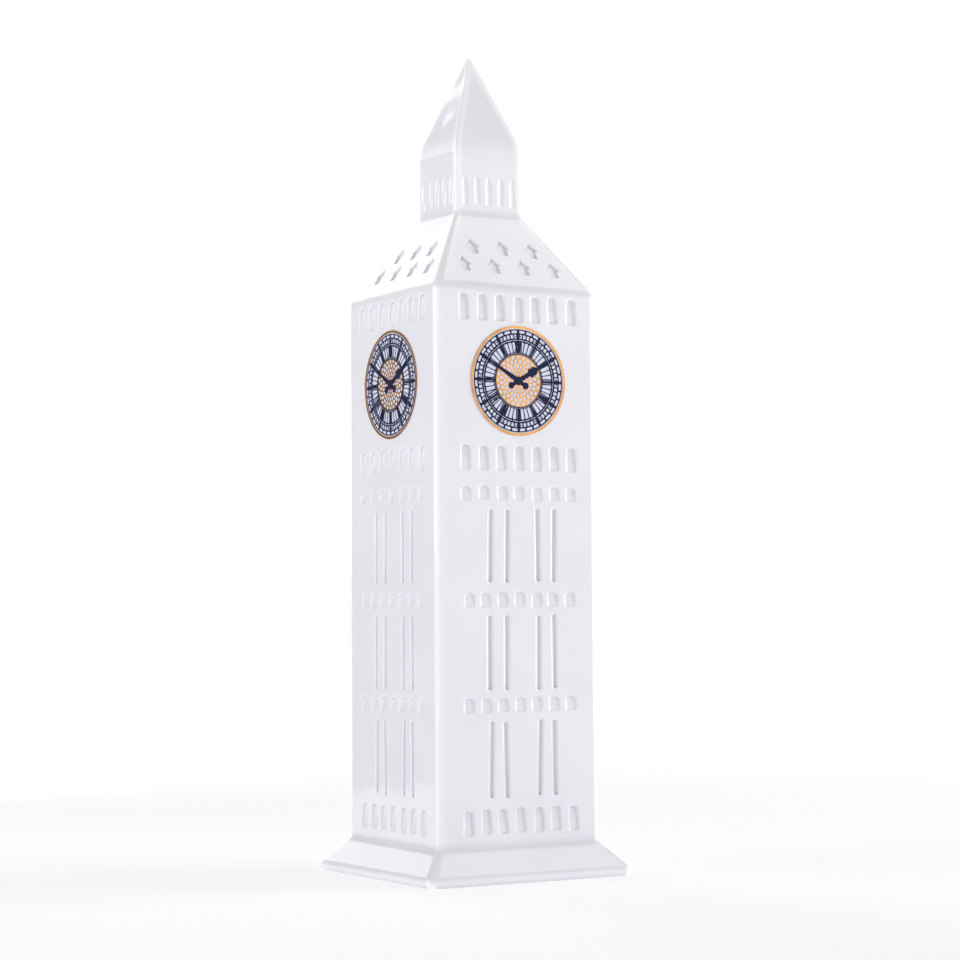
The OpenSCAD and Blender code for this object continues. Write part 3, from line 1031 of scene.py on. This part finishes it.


# %% [markdown]
# ## Glaze
# White porcelain under a clear glaze is a pale body seen through a thin glassy coat. An image of
# crockery would do for a flat wall, but the glaze follows the shape. The hollows are painted darker:
# partly the glaze that pools there, partly painted shade. The arrises are painted whiter: partly the
# glaze that draws thin there, partly a painted highlight. Ambient Occlusion finds the hollows, and the
# arrises of a square tower all lie where x and y are equally far out. The coat ran in the kiln, so a
# very weak bump makes it swim: one noise as wide as a finger, one like orange peel.

# %% Glaze
BODY = (0.845, 0.838, 0.890)
BODY_COOL = (0.820, 0.815, 0.872)    # the body has cooler clouds in it
CLOUD = 30 * MM                      # their size
CLOUD_RANGE = (0.35, 0.65)           # the part of the noise that goes from one tone to the other
# painted shade in the hollows, partly the glaze that pools there
POOLED_AND_SHADE = (0.690, 0.684, 0.740)
POOL_AND_SHADE_REACH = 2.0 * MM                # how far away a wall makes a hollow
POOL_AND_SHADE_RANGE = (0.30, 0.97)            # openness, from full pooling and painted shade to none
HOLLOW_SAMPLES = 8
# painted highlight on the arrises, partly the glaze drawn thin there
THIN_GLAZE_AND_HIGHLIGHT = (0.930, 0.915, 0.955)
ARRIS_HIGHLIGHT_BAND = (1.2 * MM, 3.2 * MM)    # from the painted highlight of thin glaze to full glaze, across an arris
SWIM = 0.35 * MM                     # depth of the wide bump
SWIM_SIZE = 22 * MM
PEEL = 0.006 * MM                    # depth of the fine bump
PEEL_SIZE = 2.5 * MM
GLAZE_SOCKETS = {
    "Roughness": 0.5, "Specular IOR Level": 0.1,
    "Subsurface Weight": 0.2, "Subsurface Radius": (1.0, 0.9, 0.8), "Subsurface Scale": 1.0 * MM,
    "Coat Weight": 1.0, "Coat Roughness": 0.04, "Coat IOR": 1.5,
}


def from_arris(nodes, links, place):
    """Mask for the painted highlight: 0 on the casting's arrises, 1 on its flats. All arrises lie where |x| =
    |y|.
    """
    split = nodes.new("ShaderNodeSeparateXYZ")
    links.new(place.outputs["Object"], split.inputs[0])
    sizes = []
    for axis in ("X", "Y"):
        size = nodes.new("ShaderNodeMath")
        size.operation = "ABSOLUTE"
        links.new(split.outputs[axis], size.inputs[0])
        sizes.append(size.outputs[0])
    across = nodes.new("ShaderNodeMath")
    across.operation = "SUBTRACT"
    links.new(sizes[0], across.inputs[0])
    links.new(sizes[1], across.inputs[1])
    distance = nodes.new("ShaderNodeMath")
    distance.operation = "ABSOLUTE"
    links.new(across.outputs[0], distance.inputs[0])
    return spread(nodes, links, distance.outputs[0], *ARRIS_HIGHLIGHT_BAND)


def glaze_material():
    """Porcelain under a clear glaze."""
    material, nodes, links, shader = new_material("white_glaze")
    place = nodes.new("ShaderNodeTexCoord")
    cloud = noise(nodes, links, place, CLOUD)
    body = mixed(nodes, links, spread(nodes, links, cloud.outputs[0], *CLOUD_RANGE), BODY, BODY_COOL)
    hollow = nodes.new("ShaderNodeAmbientOcclusion")
    hollow.samples = HOLLOW_SAMPLES
    hollow.inputs["Distance"].default_value = POOL_AND_SHADE_REACH
    # painted shade in the hollows found by Ambient Occlusion, partly the glaze's pooling
    pooled_and_shaded = mixed(nodes, links, spread(nodes, links, hollow.outputs["AO"], *POOL_AND_SHADE_RANGE), POOLED_AND_SHADE, body)
    # painted highlight on the arrises, partly the glaze drawn thin there
    glaze_with_shade_and_highlight = mixed(nodes, links, from_arris(nodes, links, place), THIN_GLAZE_AND_HIGHLIGHT, pooled_and_shaded)
    links.new(glaze_with_shade_and_highlight, shader.inputs["Base Color"])
    swim = bump(nodes, links, noise(nodes, links, place, SWIM_SIZE, detail=1.0), SWIM)
    peel = bump(nodes, links, noise(nodes, links, place, PEEL_SIZE, detail=1.0), PEEL, swim)
    links.new(peel.outputs["Normal"], shader.inputs["Coat Normal"])
    set_sockets(shader, GLAZE_SOCKETS)
    return material


GLAZE = glaze_material()
print("glaze:", len(GLAZE.node_tree.nodes), "nodes")

# %% [markdown]
# ## Fired colours and gold
# The print is enamel: flat and satin, but never quite even, because the colour was laid on in small
# dots and melted. A plain colour would look like plastic, so a noise weakens it in patches and gives
# it a fine grain. The gold is the same with a metal's shine and wider patches, where it is worn.

# %% Enamels and gold
PATCH = 0.9 * MM                     # size of the uneven patches in a colour
GOLD_PATCH = 5 * MM
PATCH_RANGE = (0.35, 0.65)           # the part of the noise that goes from the weak to the full colour
GRAIN = 0.004 * MM                   # depth of the grain
GRAIN_SIZE = 0.25 * MM


def enamel_material(name, colour, tone, patch, sockets):
    """A fired colour that drops to this share of its strength in patches of about this size."""
    material, nodes, links, shader = new_material(name)
    place = nodes.new("ShaderNodeTexCoord")
    uneven = noise(nodes, links, place, patch, detail=3.0)
    ramp = nodes.new("ShaderNodeValToRGB")
    weak, full = ramp.color_ramp.elements
    weak.position, full.position = PATCH_RANGE
    weak.color = (*[c * tone for c in colour], 1)
    full.color = (*colour, 1)
    links.new(uneven.outputs[0], ramp.inputs[0])
    links.new(ramp.outputs[0], shader.inputs["Base Color"])
    grain = bump(nodes, links, noise(nodes, links, place, GRAIN_SIZE), GRAIN)
    links.new(grain.outputs["Normal"], shader.inputs["Normal"])
    set_sockets(shader, sockets)
    return material


NAVY = enamel_material("navy_print", (0.010, 0.013, 0.058), tone=0.7, patch=PATCH,
                       sockets={"Roughness": 0.30, "Specular IOR Level": 0.15})
PALE = enamel_material("pale_print", (0.700, 0.725, 0.880), tone=0.95, patch=PATCH,
                       sockets={"Roughness": 0.35})
GOLD = enamel_material("gold_print", (0.83, 0.42, 0.145), tone=0.72, patch=GOLD_PATCH,
                       sockets={"Roughness": 0.26, "Metallic": 0.85})
print("prints:", NAVY.name, PALE.name, GOLD.name)

# %% [markdown]
# ## Biscuit
# The underside of such a casting is left unglazed, so that it doesn't stick to the kiln. Biscuit is
# dull and a little creamy, rough like fine sandpaper, with a few iron specks. The base plate is flat
# and hidden, so the CAD piece itself is kept and only its finish is changed.

# %% Biscuit
BISCUIT = (0.790, 0.765, 0.715)
BISCUIT_WARM = (0.730, 0.695, 0.630)
WARM_SIZE = 9 * MM                   # size of its warmer clouds
WARM_RANGE = (0.3, 0.7)
IRON = (0.300, 0.220, 0.150)
SPECK_SIZE = 1.1 * MM
SPECK_RANGE = (0.74, 0.78)           # only the highest peaks of the noise are specks
SAND = 0.06 * MM                     # depth of the sandy pits
SAND_SIZE = 0.5 * MM


def biscuit_material():
    """Fired but unglazed porcelain."""
    material, nodes, links, shader = new_material("biscuit")
    place = nodes.new("ShaderNodeTexCoord")
    cloud = noise(nodes, links, place, WARM_SIZE, detail=3.0)
    tone = mixed(nodes, links, spread(nodes, links, cloud.outputs[0], *WARM_RANGE), BISCUIT, BISCUIT_WARM)
    speck = noise(nodes, links, place, SPECK_SIZE, detail=0.0)
    specked = mixed(nodes, links, spread(nodes, links, speck.outputs[0], *SPECK_RANGE), tone, IRON)
    links.new(specked, shader.inputs["Base Color"])
    sand = bump(nodes, links, noise(nodes, links, place, SAND_SIZE, detail=3.0), SAND)
    links.new(sand.outputs["Normal"], shader.inputs["Normal"])
    set_sockets(shader, {"Roughness": 0.85, "Specular IOR Level": 0.25})
    return material


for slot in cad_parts["base_plate"].material_slots:
    slot.material = biscuit_material()
    print("base_plate is given", slot.material.name)

# %% [markdown]
# ## Every piece gets its finish
# A modelled piece takes the place of the CAD piece it stands for, which is hidden, and gets its finish.
# Nothing on this tower moves, so every piece belongs to the one fixed body.

# %% Finishes
def finish_piece(piece, material, slot, *nodes):
    """Gives a piece its finish, hides the CAD pieces it stands for and attaches it to the fixed body."""
    piece.data.materials.clear()
    piece.data.materials.append(material)
    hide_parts(*nodes)
    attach(piece, "root")


castings = {"plinth": plinth, "shaft": shaft, "roof": roof, "belfry": belfry, "spire": spire}
for node, wall in castings.items():
    finish_piece(wall, GLAZE, "glazed_porcelain", node)
for face, turn in FACE_TURNS:
    finish_piece(grounds[face], PALE, "pale_enamel", face + "_dial_ground")
    finish_piece(golds[face], GOLD, "fired_gold", face + "_dial_gold")
    finish_piece(navies[face], NAVY, "navy_enamel", face + "_dial_navy")
    finish_piece(hands[face], NAVY, "navy_enamel", face + "_dial_hands")
print("finished:", len(castings), "castings and", 4 * len(FACE_TURNS), "printed coats")

# %% [markdown]
# ## Camera
# The camera stands to the front left, a little below the middle of the tower, three tower heights
# away. A near camera with a wide lens would bend the tall shaft, so it has a longer, portrait lens.

# %% Camera
CAMERA_AZIMUTH = radians(-30.731)
CAMERA_ELEVATION = radians(-3.138)
CAMERA_ROLL = radians(-0.355)
CAMERA_DISTANCE = 0.84156            # from the point it aims at, in metres
CAMERA_AIM_Z = 0.133295              # height of that point
CAMERA_AIM_RIGHT = 0.003019          # how far it lies to the right of the tower's axis
LENS_MM = 92.209875
SENSOR_MM = 36


def place_camera():
    """The camera, aimed at the middle of the tower."""
    azimuth, elevation = CAMERA_AZIMUTH, CAMERA_ELEVATION
    back = Vector((sin(azimuth) * cos(elevation), -cos(azimuth) * cos(elevation), sin(elevation)))
    right = Vector((cos(azimuth), sin(azimuth), 0))
    up = back.cross(right)
    roll = Matrix.Rotation(CAMERA_ROLL, 3, back)
    axes = Matrix((roll @ right, roll @ up, back)).transposed().to_4x4()
    aim = Vector((0, 0, CAMERA_AIM_Z)) + right * CAMERA_AIM_RIGHT
    data = bpy.data.cameras.new("camera")
    data.lens = LENS_MM
    data.sensor_width = SENSOR_MM
    camera = bpy.data.objects.new("camera", data)
    camera.matrix_world = Matrix.Translation(aim + back * CAMERA_DISTANCE) @ axes
    bpy.context.scene.collection.objects.link(camera)
    bpy.context.scene.camera = camera


place_camera()
print("camera", CAMERA_DISTANCE, "m away, lens", round(LENS_MM, 1), "mm")

# %% [markdown]
# ## Floor
# The floor is a large disc of white paper. A lit floor alone would turn grey with distance, so its
# colour fades to a plain white glow away from the tower, and only the part near the foot takes a
# shadow.

# %% Floor
FLOOR_R = 4.0
FLOOR_STEPS = 96
FLOOR_FADE = (0.22, 0.90)            # distances from the tower over which the fade runs, in metres
PAPER_NEAR = (0.66, 0.66, 0.665)     # the paper's own colour near the tower
PAPER_FAR = (0.0, 0.0, 0.0)          # and far from it
GLOW_NEAR = (0.47, 0.47, 0.47)       # its glow near the tower
GLOW_FAR = (1.0, 1.0, 1.0)           # and far from it


def floor_sheet():
    """A pale floor that fades to white with distance."""
    start_clean()
    bpy.ops.mesh.primitive_circle_add(vertices=FLOOR_STEPS, radius=FLOOR_R, fill_type="NGON",
                                      location=(0, 0, 0))
    floor = settle(bpy.context.active_object, "floor")
    material, nodes, links, shader = new_material("floor_paper")
    place = nodes.new("ShaderNodeTexCoord")
    away = nodes.new("ShaderNodeVectorMath")
    away.operation = "LENGTH"
    links.new(place.outputs["Object"], away.inputs[0])
    fade = spread(nodes, links, away.outputs["Value"], *FLOOR_FADE)
    set_sockets(shader, {"Roughness": 0.7, "Specular IOR Level": 0.2, "Emission Strength": 1.0})
    links.new(mixed(nodes, links, fade, PAPER_NEAR, PAPER_FAR), shader.inputs["Base Color"])
    links.new(mixed(nodes, links, fade, GLOW_NEAR, GLOW_FAR), shader.inputs["Emission Color"])
    floor.data.materials.append(material)


floor_sheet()
print("floor of", FLOOR_R, "m radius")

# %% [markdown]
# ## Surround
# A glossy tower shows mostly what it mirrors. With nothing round it, it would mirror black, so the
# world is white along the horizon. It is dimmer above, so that the lamps shape the roof and spire.

# %% Surround
HORIZON_LIGHT = 1.0
HIGH_LIGHT = 0.22
LIGHT_FALLS = (0.25, 0.48)           # between these heights of the sky, as the sine of the elevation


def surround():
    """White along the horizon and dimmer above."""
    world = bpy.data.worlds.new("surround")
    world.use_nodes = True
    nodes, links = world.node_tree.nodes, world.node_tree.links
    direction = nodes.new("ShaderNodeTexCoord")
    split = nodes.new("ShaderNodeSeparateXYZ")
    links.new(direction.outputs["Generated"], split.inputs[0])
    fall = nodes.new("ShaderNodeMapRange")
    fall.interpolation_type = "SMOOTHSTEP"
    fall.inputs["From Min"].default_value, fall.inputs["From Max"].default_value = LIGHT_FALLS
    fall.inputs["To Min"].default_value = HORIZON_LIGHT
    fall.inputs["To Max"].default_value = HIGH_LIGHT
    links.new(split.outputs["Z"], fall.inputs["Value"])
    links.new(fall.outputs["Result"], nodes["Background"].inputs["Strength"])
    nodes["Background"].inputs["Color"].default_value = (1, 1, 1, 1)
    bpy.context.scene.world = world
    bpy.context.scene.view_settings.view_transform = "Standard"


surround()
print("surround:", HORIZON_LIGHT, "at the horizon,", HIGH_LIGHT, "above")

# %% [markdown]
# ## Lamps and a dark card
# Each flat face of the tower mirrors one direction, so every lamp has its own task. The key box stands
# at the left. A large fill box at the right lights the front, and a narrow front box is between them.
# A tall back box is mirrored by the left side's slopes, a top box by the front slopes, and a sky box
# by the hips. A dark card stands where the left face mirrors it, so that this face stays the darker.

# %% Dark card
CARD_AZIMUTH = radians(-149)
CARD_DISTANCE = 0.42
CARD_SIZE = (0.19, 0.34)             # width and height in metres
CARD_LIFT = 2 * MM                   # its gap above the floor
CARD_GREY = (0.05, 0.05, 0.05, 1)


def dark_card():
    """A dark card at the left, seen only as it is mirrored in the glaze and the gold."""
    start_clean()
    bpy.ops.mesh.primitive_plane_add(size=1, location=(0, 0, 0))
    card = bpy.context.active_object
    away = Vector((sin(CARD_AZIMUTH), -cos(CARD_AZIMUTH), 0))
    card.scale = (*CARD_SIZE, 1)
    card.rotation_euler = away.to_track_quat("Z", "Y").to_euler()
    card.location = away * CARD_DISTANCE + Vector((0, 0, CARD_SIZE[1] / 2 + CARD_LIFT))
    card = settle(card, "card")
    material, nodes, links, shader = new_material("card_felt")
    set_sockets(shader, {"Base Color": CARD_GREY, "Roughness": 0.9})
    card.data.materials.append(material)
    card.visible_camera = False


dark_card()
print("dark card of", CARD_SIZE, "m")

# %% Lamps
LAMPS = [   # (name, azimuth and elevation in degrees, distance, (width, height) in metres, power in watts)
    ("key_box", -106, 18, 1.2, (0.7, 0.8), 4.2),
    ("fill_box", 66, 8, 1.1, (1.0, 0.6), 5.9),
    ("front_box", -60, 5, 1.4, (0.3, 0.9), 1.7),
    ("back_box", -179, 22, 1.2, (0.48, 1.0), 2.6),
    ("top_box", 71, 57, 1.3, (0.38, 0.5), 1.4),
    ("sky_box", 120, 77, 1.2, (0.5, 0.5), 1.2),
]


def soft_box(name, azimuth, elevation, distance, size, power):
    """A lamp of this width and height that faces the middle of the tower."""
    data = bpy.data.lights.new(name, "AREA")
    data.shape = "RECTANGLE"
    data.size, data.size_y = size
    data.energy = power
    lamp = bpy.data.objects.new(name, data)
    a, e = radians(azimuth), radians(elevation)
    back = Vector((sin(a) * cos(e), -cos(a) * cos(e), sin(e)))
    middle = Vector((0, 0, top_z / 2))
    lamp.location = middle + back * distance
    lamp.rotation_euler = back.to_track_quat("Z", "Y").to_euler()
    lamp.visible_camera = False
    bpy.context.scene.collection.objects.link(lamp)


for lamp_values in LAMPS:
    soft_box(*lamp_values)
print("lamps:", len(LAMPS))
